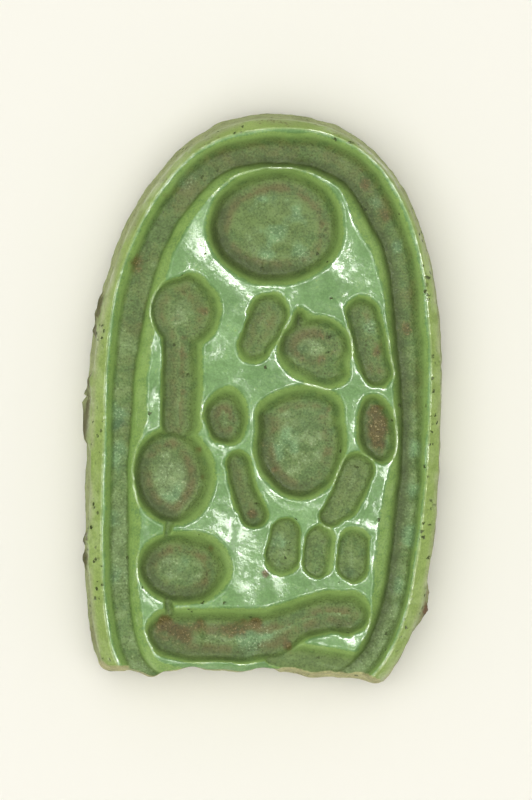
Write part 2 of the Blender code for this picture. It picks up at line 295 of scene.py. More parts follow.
# Iron stains on floors and field, in mm.
Spot = namedtuple("Spot", "x y radius strength")
STAINS = (
    Spot(-3.75, -8.60, 0.42, 1.1),
    Spot(-3.00, -9.00, 0.55, 1.1),
    Spot(-2.30, -8.60, 0.30, 0.8),
    Spot(-1.30, -8.95, 0.55, 0.85),
    Spot(-0.60, -8.75, 0.42, 0.8),
    Spot(-0.15, -8.60, 0.24, 0.9),
    Spot(4.30, -0.55, 0.42, 1.0),
    Spot(4.48, -1.15, 0.46, 1.1),
    Spot(4.50, -1.80, 0.34, 1.0),
    Spot(4.42, 1.85, 0.36, 1.0),
    Spot(2.35, 2.30, 0.42, 0.7),
    Spot(2.40, 1.45, 0.40, 0.7),
    Spot(-0.35, -4.45, 0.28, 1.1),
    Spot(-0.72, -3.10, 0.30, 0.6),
    Spot(-2.42, -1.95, 0.22, 0.55),
    Spot(-2.32, -2.50, 0.20, 0.7),
    Spot(-2.28, -3.05, 0.22, 0.8),
    Spot(-2.48, -3.60, 0.22, 0.7),
    Spot(-1.95, -5.75, 0.30, 0.6),
    Spot(0.15, -6.72, 0.20, 1.2),
    Spot(1.00, -9.42, 0.28, 1.2),
    Spot(3.95, 8.20, 0.34, 1.1),
    Spot(0.80, 9.55, 0.36, 0.4),
    Spot(5.40, 3.90, 0.40, 0.5),
    Spot(-4.70, 5.10, 0.45, 0.9),
    Spot(-3.55, 7.45, 0.40, 0.6),
    Spot(4.75, 6.90, 0.45, 0.9),
    Spot(5.55, 2.60, 0.40, 0.75),
    Spot(2.60, 9.20, 0.40, 0.6),
    Spot(-2.75, 3.35, 0.40, 0.65),
    Spot(-2.95, 2.30, 0.26, 0.7),
    Spot(-3.05, 1.65, 0.32, 0.8),
    Spot(-3.05, 0.95, 0.32, 0.7),
    Spot(-2.98, 0.20, 0.32, 0.9),
    Spot(-3.20, -0.55, 0.30, 0.8),
    Spot(-3.35, -1.10, 0.26, 0.8),
    Spot(-2.15, 3.30, 0.26, 0.55),
    Spot(-3.30, 3.10, 0.35, 0.6),
    Spot(-2.95, 3.95, 0.30, 0.5),
    Spot(0.10, 2.85, 0.34, 0.6),
    Spot(0.12, -1.75, 0.24, 0.8),
    Spot(0.50, -2.75, 0.24, 0.8),
    Spot(2.50, -0.45, 0.26, 0.8),
    Spot(2.45, -2.10, 0.30, 0.7),
)

# Pale film on floors, where the glaze went dull, in mm.
BLOOMS = (
    Spot(1.35, 7.05, 0.32, 0.9),
    Spot(0.55, 6.35, 0.42, 0.8),
    Spot(0.25, 5.50, 0.40, 0.9),
    Spot(1.45, 5.55, 0.40, 0.8),
    Spot(0.15, 7.65, 0.34, 0.7),
    Spot(0.30, 0.75, 0.40, 0.9),
    Spot(-0.25, 0.95, 0.42, 0.9),
    Spot(0.55, -2.00, 0.45, 0.7),
    Spot(-3.30, -3.80, 0.55, 0.6),
    Spot(-3.00, -6.60, 0.50, 0.5),
    Spot(-5.55, -0.60, 0.45, 0.8),
    Spot(-5.60, -2.20, 0.60, 0.8),
    Spot(-5.90, -4.60, 0.45, 0.8),
    Spot(-5.60, -6.60, 0.50, 0.7),
    Spot(-5.30, 4.60, 0.40, 0.7),
    Spot(-2.95, 8.25, 0.50, 0.7),
    Spot(4.40, 7.40, 0.34, 0.7),
    Spot(5.20, 5.75, 0.36, 0.7),
    Spot(5.95, -2.00, 0.42, 1.0),
    Spot(5.75, -3.60, 0.50, 0.8),
    Spot(5.75, -5.30, 0.42, 1.0),
    Spot(5.20, -7.20, 0.45, 0.8),
    Spot(0.10, -9.10, 0.55, 0.7),
    Spot(0.60, -7.00, 0.42, 0.8),
    Spot(-0.60, -9.35, 0.50, 0.9),
    Spot(5.60, -5.20, 0.40, 0.9),
    Spot(0.62, -5.60, 0.36, 0.8),
    Spot(4.15, 2.70, 0.34, 0.7),
    Spot(1.10, -1.60, 0.60, 0.7),
)

# Dark green copper-rich patches on floors, in mm.
DARK_PATCHES = (
    Spot(-5.65, -1.05, 0.34, 1.1),
    Spot(-5.30, -0.95, 0.22, 0.8),
    Spot(-5.45, 2.90, 0.34, 0.6),
    Spot(-5.80, -6.85, 0.40, 0.6),
    Spot(-5.20, -8.00, 0.40, 0.5),
    Spot(-2.40, 8.55, 0.40, 0.5),
    Spot(1.35, 1.80, 0.42, 0.7),
    Spot(2.20, -6.60, 0.26, 0.6),
    Spot(3.40, -6.70, 0.30, 0.7),
)

# Where the glaze kept its shine on the lips, in mm.
CLEAR_GLAZE = (
    Spot(-4.40, 2.00, 0.60, 1.0),
    Spot(-4.45, -0.60, 0.80, 1.0),
    Spot(4.60, -3.20, 0.80, 1.0),
    Spot(4.45, -4.60, 0.80, 1.0),
    Spot(-1.60, 8.20, 0.90, 1.0),
    Spot(0.60, 8.75, 0.60, 0.8),
    Spot(2.30, 8.20, 0.60, 0.8),
    Spot(3.20, 6.90, 0.60, 1.0),
    Spot(2.60, 4.90, 0.80, 1.0),
    Spot(-4.30, 4.00, 0.70, 1.0),
    Spot(0.30, 3.95, 0.60, 1.0),
    Spot(3.30, 2.30, 0.70, 1.0),
    Spot(4.60, 3.20, 0.60, 1.0),
    Spot(5.00, 1.80, 0.80, 1.0),
    Spot(-2.20, -0.40, 0.60, 1.0),
    Spot(-1.50, -1.80, 0.50, 1.0),
    Spot(5.10, -1.20, 0.80, 1.0),
    Spot(4.40, -2.45, 0.50, 1.0),
    Spot(0.30, -3.20, 0.80, 1.0),
    Spot(2.80, -3.20, 0.60, 0.8),
    Spot(4.20, -6.00, 0.90, 1.0),
    Spot(2.30, -7.00, 0.80, 1.0),
    Spot(-4.60, -7.00, 0.90, 1.0),
    Spot(-4.30, -9.30, 0.70, 1.0),
    Spot(2.30, -9.00, 0.90, 1.0),
    Spot(3.70, -8.90, 0.50, 1.0),
    Spot(-1.50, -10.10, 1.40, 1.0),
    Spot(1.90, 0.40, 0.90, 1.0),
    Spot(-0.45, -0.90, 0.50, 1.0),
    Spot(0.60, 2.00, 0.60, 1.0),
    Spot(2.60, 3.30, 0.80, 1.0),
)

# How patches break up: the strength of their spots, where they start, and how ragged they are, with the
# grain (mm), the seed and the number of octaves of that.
Patchwork = namedtuple("Patchwork", "gain offset ragged grain seed octaves")
STAIN_PATCHWORK = Patchwork(0.95, -0.12, 0.4, 0.45, 95, 4)
BLOOM_PATCHWORK = Patchwork(1.0, 0.0, 0.6, 0.35, 97, 3)
COPPER_PATCHWORK = Patchwork(1.0, -0.1, 0.4, 0.45, 99, 3)

# Lumps on the side wall: red burnt clay, and dark soil that never came off. The place, the half length and
# the reach are in mm, and the height is the share of the way down the wall.
Lump = namedtuple("Lump", "x y half_length reach height red")
LUMPS = (
    Lump(6.02, -8.15, 0.66, 0.24, 0.40, 1.0),
    Lump(6.22, -7.50, 0.34, 0.14, 0.40, 1.0),
    Lump(5.05, 8.60, 0.30, 0.10, 0.36, 1.0),
    Lump(-6.60, 0.60, 0.30, 0.24, 0.24, 0.0),
    Lump(-6.60, -0.35, 0.62, 0.27, 0.42, 0.0),
    Lump(-6.62, -1.45, 0.42, 0.30, 0.30, 0.0),
    Lump(-6.66, -5.40, 0.26, 0.22, 0.26, 0.0),
    Lump(-6.66, -6.20, 0.56, 0.22, 0.40, 0.0),
    Lump(-6.20, 3.40, 0.54, 0.22, 0.38, 0.0),
    Lump(-6.35, 2.55, 0.28, 0.20, 0.26, 0.0),
)
BROWN_SIDE = Spot(-6.45, -9.20, 0.90, 0.55)
LUMP_HALF_HEIGHT = 0.24
LUMP_RAGGED = 0.6
LUMP_EDGE_GRAIN = 0.3

# The crust of clay and soil on the lumps breaks off in places, and leaves this share of its colour there.
CRUST_MEAN = 0.50
CRUST_CONTRAST = 1.5
CRUST_GRAIN = 0.42
CLAY_LEFT = 0.35
SOIL_LEFT = 0.3
SOIL_GAIN = 1.8

# The roots of the lost hoop, on the back at both long sides, and the back between them, in mm. The roots
# are ragged stumps, and the back is faintly soiled.
ROOT_LENGTH = 3.8
ROOT_REACH = 2.7
ROOT_Y = -0.95
ROOT_SLOPE = 0.35
ROOT_ROUNDING = 0.9
ROOT_RAGGED = 0.24
ROOT_GRAIN = 0.9
BACK_SWELL = 0.05
BACK_GRAIN = 1.6
BACK_SOIL = 0.34
BACK_SOIL_GRAIN = 1.4
BREAK_ROUGH = 0.10
BREAK_GRAIN = 0.5

# The floors go from gritty at the rounded end, where the channel also gets painted shade, to frosted and
# pale at the broken end, in clouds.
FROST_MIDDLE_Y = 1.0
FROST_SPREAD = 13
FROST_MEAN = 0.55
FROST_CLOUDS = 0.7
FROST_GRAIN = 0.9

# The channel's floor: how gritty and how frosted it gets, how much painted shade it has at the rounded end,
# and the painted shade in the crease along its inner foot, with the crease's shift and half width in mm.
CHANNEL_GRIT = 0.75
CHANNEL_FROST = 0.7
CHANNEL_SHADE = 0.42
CHANNEL_CREASE = 0.85
CHANNEL_CREASE_SHIFT = 0.05
CHANNEL_CREASE_WIDTH = 0.32

# The marks' floors, in mm: how deep a mark is when its floor is all dull, how fast the finish sets in past
# the lip, the brown ring of grit that deep marks have by their walls, and the frosted middles.
DULL_DEPTH = 0.42
INSIDE_RUN = 0.3
GRIT_DEPTH = 0.36
GRIT_DEPTH_RUN = 0.30
GRIT_RING = 0.24
GRIT_RING_IN = 0.20
FROST_START = 0.10
FROST_RUN = 0.55

# Painted shade at the foot of a wall, partly also the dark glaze that pooled there: how dark it is, where
# on the wall and how wide (mm). The deeper the mark, the darker it is. A soft side has a thin line of
# painted shade in its crease instead.
FOOT_SHADE = 0.95
FOOT_SHADE_AT = 0.95
FOOT_SHADE_WIDTH = 0.34
DEEPEST = 0.84
DEPTH_POWER = 1.5
CREASE_SHADE = 0.30
CREASE_IN = 0.02
CREASE_WIDTH = 0.10

# The painted shade is darkest at the feet of walls that face up and right.
FACING_MEAN = 0.45
CHANNEL_FACING_MEAN = 0.50
FACING_CHANGE = 0.6

# The rim: how far in from its crest it ends and over how much it fades (mm). It is soiled from a height
# up, in patches.
RIM_INSIDE = 0.10
RIM_FADE = 0.2
RIM_SOIL = 0.35
SOILED_FROM = 2.5
SOILED_OVER = 4
SOIL_MEAN = 0.6
SOIL_GRAIN = 0.8

# The pale strip where the glaze thins out at the outline: its width in mm, and how pale and even it is.
EDGE_STRIP = 0.13
EDGE_PALENESS = 0.8
EDGE_MEAN = 0.7

# Where the glaze lost its shine, in patches and all along the border of the field (mm).
WEAR_MEAN = 0.40
WEAR_CONTRAST = 1.3
WEAR_GRAIN = 1.6
BORDER_WEAR = 0.92
BORDER_WIDTH = 0.30

# The lamps: a ring of strips that only glints show. Its distance and the strips' height are in m.
RING_STRIPS = 8
RING_OFF_AXIS = math.radians(38)
RING_DISTANCE = 0.30
RING_WIDTH = 0.085
RING_MEAN = 19
RING_SWING = 11
RING_BRIGHTEST = math.radians(50)
STRIP_SHARE = 0.9
WINDOW_OFF_AXIS = math.radians(21)

# The window's parts, each with its width and height in m and its brightness: a pane in a wide pale glow.
WINDOW_PARTS = (("window", 0.16, 0.08, 14), ("window glow", 0.30, 0.20, 1.7))

# The soft light from above, in m, and the light from all round.
OVERHEAD_SIZE = 0.40
OVERHEAD_PLACE = (-0.03, -0.02, 0.40)
OVERHEAD_BRIGHTNESS = 1.95
ROOM_BRIGHTNESS = 0.55
CARD_SIZE = 0.5

# The camera: how far it stands from over the origin, in mm, and how high over the face, in m.
CAMERA_SHIFT = (0.171, -0.095)
CAMERA_HEIGHT = 0.4234

# The grid of random values behind every uneven pattern. The shift keeps all places on its positive side.
NOISE_CELLS = 256
NOISE_SHIFT = (100.3, 100.7)


def smooth_step(value):
    """0 up to 0, 1 from 1 on, and an even rise between."""
    value = np.clip(value, 0.0, 1.0)
    return value * value * (3 - 2 * value)


def hump(distance, half_width):
    """1 at no distance, falling evenly to nothing past the half width."""
    return np.exp(-((distance / half_width) ** 2))


def spotted(spots, x, y):
    """The sum of soft round spots at each place."""
    return sum(spot.strength * hump(np.hypot(x - spot.x, y - spot.y), spot.radius) for spot in spots)


def around(stations, degrees):
    """A value given at a few angles round the outline, read at any angle."""
    angles, values = zip(*stations)
    return np.interp(degrees, angles, values, period=360)


def grain_noise(a, b, grain, seed):
    """Even random swells from -1 to 1 over a surface, about one grain apart (mm).

    Each pattern starts from a seed of its own, so that no two of them line up.
    """
    lattice = np.random.default_rng(seed).uniform(-1, 1, (NOISE_CELLS, NOISE_CELLS))
    across, along = a / grain + NOISE_SHIFT[0], b / grain + NOISE_SHIFT[1]
    column, row = np.floor(across).astype(int), np.floor(along).astype(int)
    share_a, share_b = smooth_step(across - column), smooth_step(along - row)
    left, right = column % NOISE_CELLS, (column + 1) % NOISE_CELLS
    low, high = row % NOISE_CELLS, (row + 1) % NOISE_CELLS
    lower = lattice[left, low] * (1 - share_a) + lattice[right, low] * share_a
    upper = lattice[left, high] * (1 - share_a) + lattice[right, high] * share_a
    return lower * (1 - share_b) + upper * share_b


def rough_noise(a, b, grain, seed, octaves=3):
    """Swells with finer swells on them."""
    total = 0.0
    for octave in range(octaves):
        total = total + grain_noise(a, b, grain / 2**octave, seed + octave) / 2**octave
    return total / (2 - 2 ** (1 - octaves))


def patches(spots, patchwork, x, y):
    """The share of patches round some spots, with ragged edges."""
    ragged = patchwork.ragged * rough_noise(x, y, patchwork.grain, patchwork.seed, patchwork.octaves)
    return smooth_step(patchwork.gain * spotted(spots, x, y) + patchwork.offset + ragged)


def oval_points():
    """The plate's whole oval, as it was before its lower end broke off."""
    angle = np.linspace(0, math.tau, OVAL_STEPS, endpoint=False)
    side, rise = np.cos(angle), np.sin(angle)
    squareness = np.where(
        rise >= 0,
        np.where(side < 0, SQUARENESS.top_left, SQUARENESS.top_right),
        np.where(side < 0, SQUARENESS.bottom_left, SQUARENESS.bottom_right),
    )
    reach = np.where(rise >= 0, TOP_REACH, BOTTOM_REACH)
    x = HALF_WIDTH * np.sign(side) * np.abs(side) ** (2 / squareness)
    y = reach * np.sign(rise) * np.abs(rise) ** (2 / squareness)
    cosine, sine = math.cos(OVAL_LEAN), math.sin(OVAL_LEAN)
    return np.stack((
        OVAL_CENTRE[0] + x * cosine + y * sine,
        OVAL_CENTRE[1] - x * sine + y * cosine,
    ), axis=1)


def break_y(x):
    """How far down the broken lower end reaches at x."""
    curl = BREAK_CURL * np.maximum(x, 0.0) ** 2
    spur = SPUR_REACH * hump(x - SPUR_X, SPUR_HALF_WIDTH)
    waves = sum(size * np.sin(math.tau * x / length + phase) for size, length, phase in BREAK_WAVES)
    corner = CORNER_CURL * np.minimum(x - CORNER_X, 0.0) ** 2
    return BREAK_Y - curl - spur + waves + corner


class Plan:
    """A closed outline, as a list of points, with quick answers about places in it."""

    def __init__(self, points):
        self.points = points
        self.tree = kdtree.KDTree(len(points))
        for index, point in enumerate(points):
            self.tree.insert((point[0], point[1], 0.0), index)
        self.tree.balance()
        steps = np.linalg.norm(np.roll(points, -1, axis=0) - points, axis=1)
        self.along = np.concatenate(([0.0], np.cumsum(steps)[:-1]))
        tangent = np.roll(points, -1, axis=0) - np.roll(points, 1, axis=0)
        tangent /= np.linalg.norm(tangent, axis=1)[:, None]
        self.outward = np.stack((tangent[:, 1], -tangent[:, 0]), axis=1)
        low = smooth_step((BREAK_Y + BROKEN_RISE - points[:, 1]) / BROKEN_FADE)
        self.broken = low * (np.abs(points[:, 0]) < BROKEN_HALF_WIDTH)

    def nearest(self, places):
        """The outline point nearest to each place, by index."""
        return np.array([self.tree.find((x, y, 0.0))[1] for x, y in places])

    def inset(self, places, nearest):
        """How far inside the outline each place is. It is below zero outside."""
        step = places - self.points[nearest]
        return -np.sum(step * self.outward[nearest], axis=1)


def broken_plan(grown):
    """The outline with its lower end broken off, grown outwards by a width."""
    oval = Plan(oval_points())
    edge = oval.points + oval.outward * grown
    x = np.linspace(-BREAK_SPAN, BREAK_SPAN, BREAK_STEPS)
    broken = np.stack((x, break_y(x) - grown), axis=1)
    keep = edge[:, 1] > break_y(edge[:, 0]) - grown
    inside = oval.inset(broken, oval.nearest(broken)) > -grown
    points = np.concatenate((edge[keep], broken[inside]))
    order = np.argsort(np.arctan2(points[:, 1], points[:, 0]))
    return Plan(points[order])


def places_of(obj):
    places = np.empty(len(obj.data.vertices) * 3)
    obj.data.vertices.foreach_get("co", places)
    return places.reshape(-1, 3)


def set_places(obj, places):
    obj.data.vertices.foreach_set("co", places.astype(np.float32).ravel())
    obj.data.update()


def choose(items, chosen):
    """Selects some of a mesh's points, edges or faces, by number, and deselects the rest."""
    items.foreach_set("select", chosen)


def work_on(obj):
    """Makes one mesh the only one selected, and opens it in edit mode."""
    bpy.ops.object.select_all(action="DESELECT")
    obj.select_set(True)
    bpy.context.view_layer.objects.active = obj
    bpy.ops.object.mode_set(mode="EDIT")


def finish_work():
    bpy.ops.object.mode_set(mode="OBJECT")


def cut_sheet(name, cell, plan):
    """A flat grid cut to an outline, with its edge drawn onto the line. Its edge stays selected.

    A blank's units are millimetres, because Blender's tools suit large shapes.
    """
    columns = 2 * math.ceil(np.abs(plan.points[:, 0]).max() / cell)
    rows = 2 * math.ceil(np.abs(plan.points[:, 1]).max() / cell)
    bpy.ops.object.select_all(action="DESELECT")
    bpy.ops.mesh.primitive_grid_add(x_subdivisions=columns, y_subdivisions=rows, size=cell)
    sheet = bpy.context.object
    sheet.name = name
    work_on(sheet)
    bpy.ops.mesh.select_all(action="SELECT")
    bpy.ops.transform.resize(value=(columns, rows, 1))
    bpy.ops.mesh.select_mode(type="FACE")
    bpy.ops.mesh.select_all(action="DESELECT")
    finish_work()

    middles = np.empty(len(sheet.data.polygons) * 3)
    sheet.data.polygons.foreach_get("center", middles)
    middles = middles.reshape(-1, 3)[:, :2]
    choose(sheet.data.polygons, plan.inset(middles, plan.nearest(middles)) < 0)
    work_on(sheet)
    bpy.ops.mesh.delete(type="FACE")
    bpy.ops.mesh.select_mode(type="VERT")
    bpy.ops.mesh.select_all(action="SELECT")
    bpy.ops.mesh.region_to_loop()
    bpy.ops.mesh.select_mode(type="VERT")
    finish_work()

    on_edge = np.empty(len(sheet.data.vertices), bool)
    sheet.data.vertices.foreach_get("select", on_edge)
    places = places_of(sheet)
    places[on_edge, :2] = plan.points[plan.nearest(places[on_edge, :2])]
    set_places(sheet, places)
    work_on(sheet)
    bpy.ops.mesh.remove_doubles(threshold=MERGE_SHARE * cell)
    bpy.ops.mesh.select_all(action="SELECT")
    bpy.ops.mesh.region_to_loop()
    finish_work()
    return sheet


def pressing_blank(face_plan, back_plan):
    """The face's grid with a wall drawn down from its edge, closed by the back's coarser grid.

    Each ring of the wall lies 1 below the one above, so that a point's z tells which ring it is on.
    """
    blank = cut_sheet("ring_bezel_glazed", FACE_CELL, face_plan)
    work_on(blank)
    for _ in range(WALL_RINGS):
        bpy.ops.mesh.extrude_region_move(TRANSFORM_OT_translate={"value": (0, 0, -1)})
    bpy.ops.mesh.select_all(action="DESELECT")
    finish_work()

    back = cut_sheet("back", BACK_CELL, back_plan)
    work_on(back)
    bpy.ops.mesh.select_all(action="SELECT")
    bpy.ops.mesh.flip_normals()
    bpy.ops.transform.translate(value=(0, 0, -WALL_RINGS - 1))
    finish_work()
    bpy.ops.object.select_all(action="DESELECT")
    back.select_set(True)
    blank.select_set(True)
    bpy.context.view_layer.objects.active = blank
    bpy.ops.object.join()

    work_on(blank)
    bpy.ops.mesh.select_mode(type="EDGE")
    bpy.ops.mesh.select_all(action="DESELECT")
    bpy.ops.mesh.select_non_manifold()
    bpy.ops.mesh.bridge_edge_loops()
    bpy.ops.mesh.select_all(action="SELECT")
    bpy.ops.mesh.normals_make_consistent(inside=False)
    bpy.ops.mesh.select_all(action="DESELECT")
    finish_work()
    return blank


def wall_fall(into, run, lip, foot):
    """The share of its depth that a wall has fallen at a distance in, rounded at its lip and foot."""
    steep = 1 / (run - (lip + foot) / 2)
    into = np.clip(into, 0.0, run)
    over_lip = np.minimum(into, lip)
    straight = np.clip(into - lip, 0.0, run - lip - foot)
    over_foot = np.clip(into - (run - foot), 0.0, foot)
    return steep * (over_lip**2 / (2 * lip) + straight + over_foot - over_foot**2 / (2 * foot))


def pit_inset(pit, x, y):
    """How far inside an oval pit each place is (mm)."""
    cosine, sine = math.cos(math.radians(pit.turn)), math.sin(math.radians(pit.turn))
    across = ((x - pit.x) * cosine + (y - pit.y) * sine) / pit.half_width
    along = ((y - pit.y) * cosine - (x - pit.x) * sine) / pit.half_height
    reach = np.hypot(across, along)
    slope = np.hypot(across / pit.half_width, along / pit.half_height)
    return (1 - reach) * np.maximum(reach, LEAST_REACH) / np.maximum(slope, LEAST_SLOPE)


def stroke_inset(stroke, x, y):
    """How far inside a stroke each place is (mm). Its width changes evenly from station to station."""
    inset = np.full(x.shape, -np.inf)
    for start, end in zip(stroke.stations, stroke.stations[1:]):
        step_x, step_y = end[0] - start[0], end[1] - start[1]
        share = ((x - start[0]) * step_x + (y - start[1]) * step_y) / (step_x**2 + step_y**2)
        share = np.clip(share, 0.0, 1.0)
        width = start[2] + (end[2] - start[2]) * smooth_step(share)
        away = np.hypot(x - start[0] - step_x * share, y - start[1] - step_y * share)
        inset = np.maximum(inset, width - away)
    return inset


def mark_insets(x, y):
    """How far inside each sunk mark each place is (mm), by name."""
    insets = {name: pit_inset(pit, x, y) for name, pit in PITS.items()}
    insets.update({name: stroke_inset(stroke, x, y) for name, stroke in STROKES.items()})
    for part, whole in JOINED.items():
        first, second = insets[whole], insets.pop(part)
        near = np.maximum(NECK_ROUNDING - np.abs(first - second), 0.0)
        insets[whole] = np.maximum(first, second) + near**2 / (4 * NECK_ROUNDING)
    return insets


def inward_ways(x, y, insets):
    """The way into each mark at each place, as x and y shares of one step, by name."""
    right, up = mark_insets(x + INWARD_STEP, y), mark_insets(x, y + INWARD_STEP)
    ways = {}
    for name, inset in insets.items():
        way = np.stack((right[name] - inset, up[name] - inset))
        ways[name] = way / np.maximum(np.linalg.norm(way, axis=0), LEAST_STEP)
    return ways


def soft_side(name, way):
    """1 on a mark's soft side, if it has one, and 0 on the others."""
    if name not in SOFT_SIDES:
        return np.zeros(way.shape[1])
    side = math.radians(SOFT_SIDES[name])
    return smooth_step(-SOFT_REACH * (way[0] * math.cos(side) + way[1] * math.sin(side)))


def lip_rounding(x, y):
    """How softly the lips are rounded over at each place (mm). It varies along every lip."""
    softness = smooth_step(LIP_SOFT_MEAN + LIP_SOFT_CHANGE * rough_noise(x, y, LIP_CHANGE, 41, 3))
    return SHARP_LIP + (SOFT_LIP - SHARP_LIP) * softness


def rim_fall(inset, crest):
    """How far the rim falls outside its crest (mm)."""
    rounding = np.minimum(CREST_ROUNDING, CREST_SHARE * crest)
    return RIM_DROP * wall_fall(crest - np.maximum(inset, 0), crest, rounding, RIM_FOOT_SHARE * crest)


def limed(fall, shine):
    """The finish of a channel wall from its share of the fall: lime green for long, then dull."""
    return np.maximum(fall**shine, LIME * smooth_step(fall / LIME))


# What the face's points carry: the height over the field, and then the shares that the finish follows.
Relief = namedtuple("Relief", "height hollow foot shade frost bloom copper stain soil rim edge worn bare")
WALL_NOTES = ("side", "burnt")


def face_relief(x, y, oval):
    """The face over its field (mm), and the shares that say which finish each place has."""
    warped_x = x + WARP * rough_noise(x, y, WARP_GRAIN, 11)
    warped_y = y + WARP * rough_noise(x, y, WARP_GRAIN, 21)
    places = np.stack((warped_x, warped_y), axis=1)
    nearest = oval.nearest(places)
    inset = oval.inset(places, nearest)
    degrees = np.degrees(np.arctan2(y, x))
    crest, floor, lip = (around(stations, degrees) for stations in (RIM_CREST, CHANNEL_FOOT, FIELD_LIP))
    cloud = rough_noise(x, y, FROST_GRAIN, 91)
    trend = smooth_step(FROST_MEAN + (FROST_MIDDLE_Y - y) / FROST_SPREAD + FROST_CLOUDS * cloud)

    # the border channel
    run = lip - floor
    facing = oval.outward[nearest] @ np.array(STEEP_FACING)
    outer = wall_fall(inset - crest, around(OUTER_RUN, degrees), CREST_ROUNDING, CHANNEL_FOOT_ROUNDING)
    inner = np.interp((lip - inset) / run, *zip(*INNER_WALL))
    hollow = outer * inner
    depth = CHANNEL_DEPTH * hollow
    hollow = limed(outer, 1 + OUTER_SHINE * smooth_step(-facing)) * limed(inner, INNER_SHINE)
    foot = hollow * (CHANNEL_GRIT - CHANNEL_GRIT * trend)
    # painted shade: a dark line in the crease at the channel's inner foot, by the way the wall faces, and a
    # darker floor towards the rounded end
    crease = CHANNEL_CREASE * hump(inset - floor + CHANNEL_CREASE_SHIFT, CHANNEL_CREASE_WIDTH)
    shade = crease * smooth_step(CHANNEL_FACING_MEAN + FACING_CHANGE * facing)
    shade = np.maximum(shade, CHANNEL_SHADE * hollow * (1 - trend))
    frost = CHANNEL_FROST * hollow * trend
    border = lip - inset

    # the marks
    insets = mark_insets(warped_x, warped_y)
    ways = inward_ways(warped_x, warped_y, insets)
    clear = np.minimum(spotted(CLEAR_GLAZE, x, y), 1.0)
    rounding = np.maximum(lip_rounding(x, y), CLEAR_LIP * clear)
    shoulder = SHOULDER_DROP * smooth_step(0.5 + rough_noise(x, y, LIP_CHANGE, 45))
    for name, into in insets.items():
        mark = PITS.get(name) or STROKES[name]
        into = into + LIP_OUTSIDE
        facing = np.array(STEEP_FACING) @ ways[name]
        soft = soft_side(name, ways[name])
        run = WALL_RUN * mark.depth - RUN_CHANGE * facing + SOFT_RUN * soft
        lip = np.minimum(rounding * (1 - soft) + SHARP_LIP * soft, 0.5 * run)
        fall = wall_fall(into, run, lip, FOOT_ROUNDING)
        roll = shoulder * (1 - soft) * smooth_step(1 + into / SHOULDER_RUN)
        depth = np.maximum(depth, roll + (mark.depth - roll) * fall)
        hollow = np.maximum(hollow, fall * min(1.0, mark.depth / DULL_DEPTH))
        inside = smooth_step(into / INSIDE_RUN)
        gritty = smooth_step((mark.depth - GRIT_DEPTH) / GRIT_DEPTH_RUN)
        foot = np.maximum(foot, gritty * inside * hump(into - run - GRIT_RING_IN, GRIT_RING))
        # painted shade at the foot of the wall, partly also pooled dark glaze: darkest where walls face up
        # and right and in deep marks; soft sides get a thin line of it in the crease
        dark = smooth_step(FACING_MEAN + FACING_CHANGE * facing) * (1 - soft)
        dark = dark * (mark.depth / DEEPEST) ** DEPTH_POWER
        shade_band = hump(into - FOOT_SHADE_AT * run, FOOT_SHADE_WIDTH)
        shade = np.maximum(shade, FOOT_SHADE * inside * shade_band * dark)
        crease = hump(into - run - CREASE_IN, CREASE_WIDTH)
        shade = np.maximum(shade, CREASE_SHADE * inside * crease * soft)
        middle = smooth_step((into - run - FROST_START) / FROST_RUN)
        frost = np.maximum(frost, middle * trend)

    # the rim and the broken end follow the true outline
    places = np.stack((x, y), axis=1)
    inset = oval.inset(places, oval.nearest(places))
    above_break = y - break_y(x)
    bare = bare_break(x) * smooth_step((BARE_EDGE * (1 + cloud) - above_break) / BARE_EDGE_FADE)
    over = GLAZED_LIP_RUN - above_break
    glazed_lip = wall_fall(over, GLAZED_LIP_RUN, GLAZED_LIP_ROUNDING, GLAZED_LIP_FOOT) * (1 - bare_break(x))
    height = -np.maximum(depth, GLAZED_LIP_DROP * glazed_lip) - rim_fall(inset, crest) - BARE_DROP * bare
    height += SWELL * rough_noise(x, y, SWELL_GRAIN, 31, 2)
    height += LUMPINESS * rough_noise(x, y, LUMP_GRAIN, 35, 2)
    for swell in SWELLS:
        height += swell.rise * hump(np.hypot(x - swell.x, y - swell.y), swell.radius)
    height += hollow * GRIT * rough_noise(x, y, GRIT_GRAIN, 51)

    # what the finish follows
    stain = patches(STAINS, STAIN_PATCHWORK, x, y)
    bloom = hollow * patches(BLOOMS, BLOOM_PATCHWORK, x, y)
    copper = hollow * patches(DARK_PATCHES, COPPER_PATCHWORK, x, y)
    rim = smooth_step((crest + RIM_INSIDE - inset) / RIM_FADE)
    soil = RIM_SOIL * rim * smooth_step((y - SOILED_FROM) / SOILED_OVER)
    soil = soil * smooth_step(SOIL_MEAN + rough_noise(x, y, SOIL_GRAIN, 93))
    edge = EDGE_PALENESS * hump(inset, EDGE_STRIP) * smooth_step(EDGE_MEAN + cloud)
    worn = smooth_step(WEAR_MEAN + WEAR_CONTRAST * rough_noise(x, y, WEAR_GRAIN, 81, 4))
    worn = np.maximum(worn, BORDER_WEAR * hump(border, BORDER_WIDTH))
    worn = worn * (1 - clear)
    return Relief(height, hollow, foot, shade, frost, bloom, copper, stain, soil, rim, edge, worn, bare)


def bare_break(x):
    """1 where the broken end is bare paste, 0 where glaze ran over it."""
    bare = 0.0
    for start, end in BARE_STRETCHES:
        bare = bare + smooth_step((x - start) / BARE_FADE) * smooth_step((end - x) / BARE_FADE)
    return bare


def flare(plan, near):
    """How far the back's outline stands out past the face's, at each outline point (mm)."""
    bare = bare_break(plan.points[near, 0])
    lean = (GLAZED_LEAN + (BARE_LEAN - GLAZED_LEAN) * bare) * plan.broken[near]
    spread = plan.outward[near] * BACK_SPREAD + np.array(BACK_SHIFT)
    spread[:, 1] -= lean
    return spread


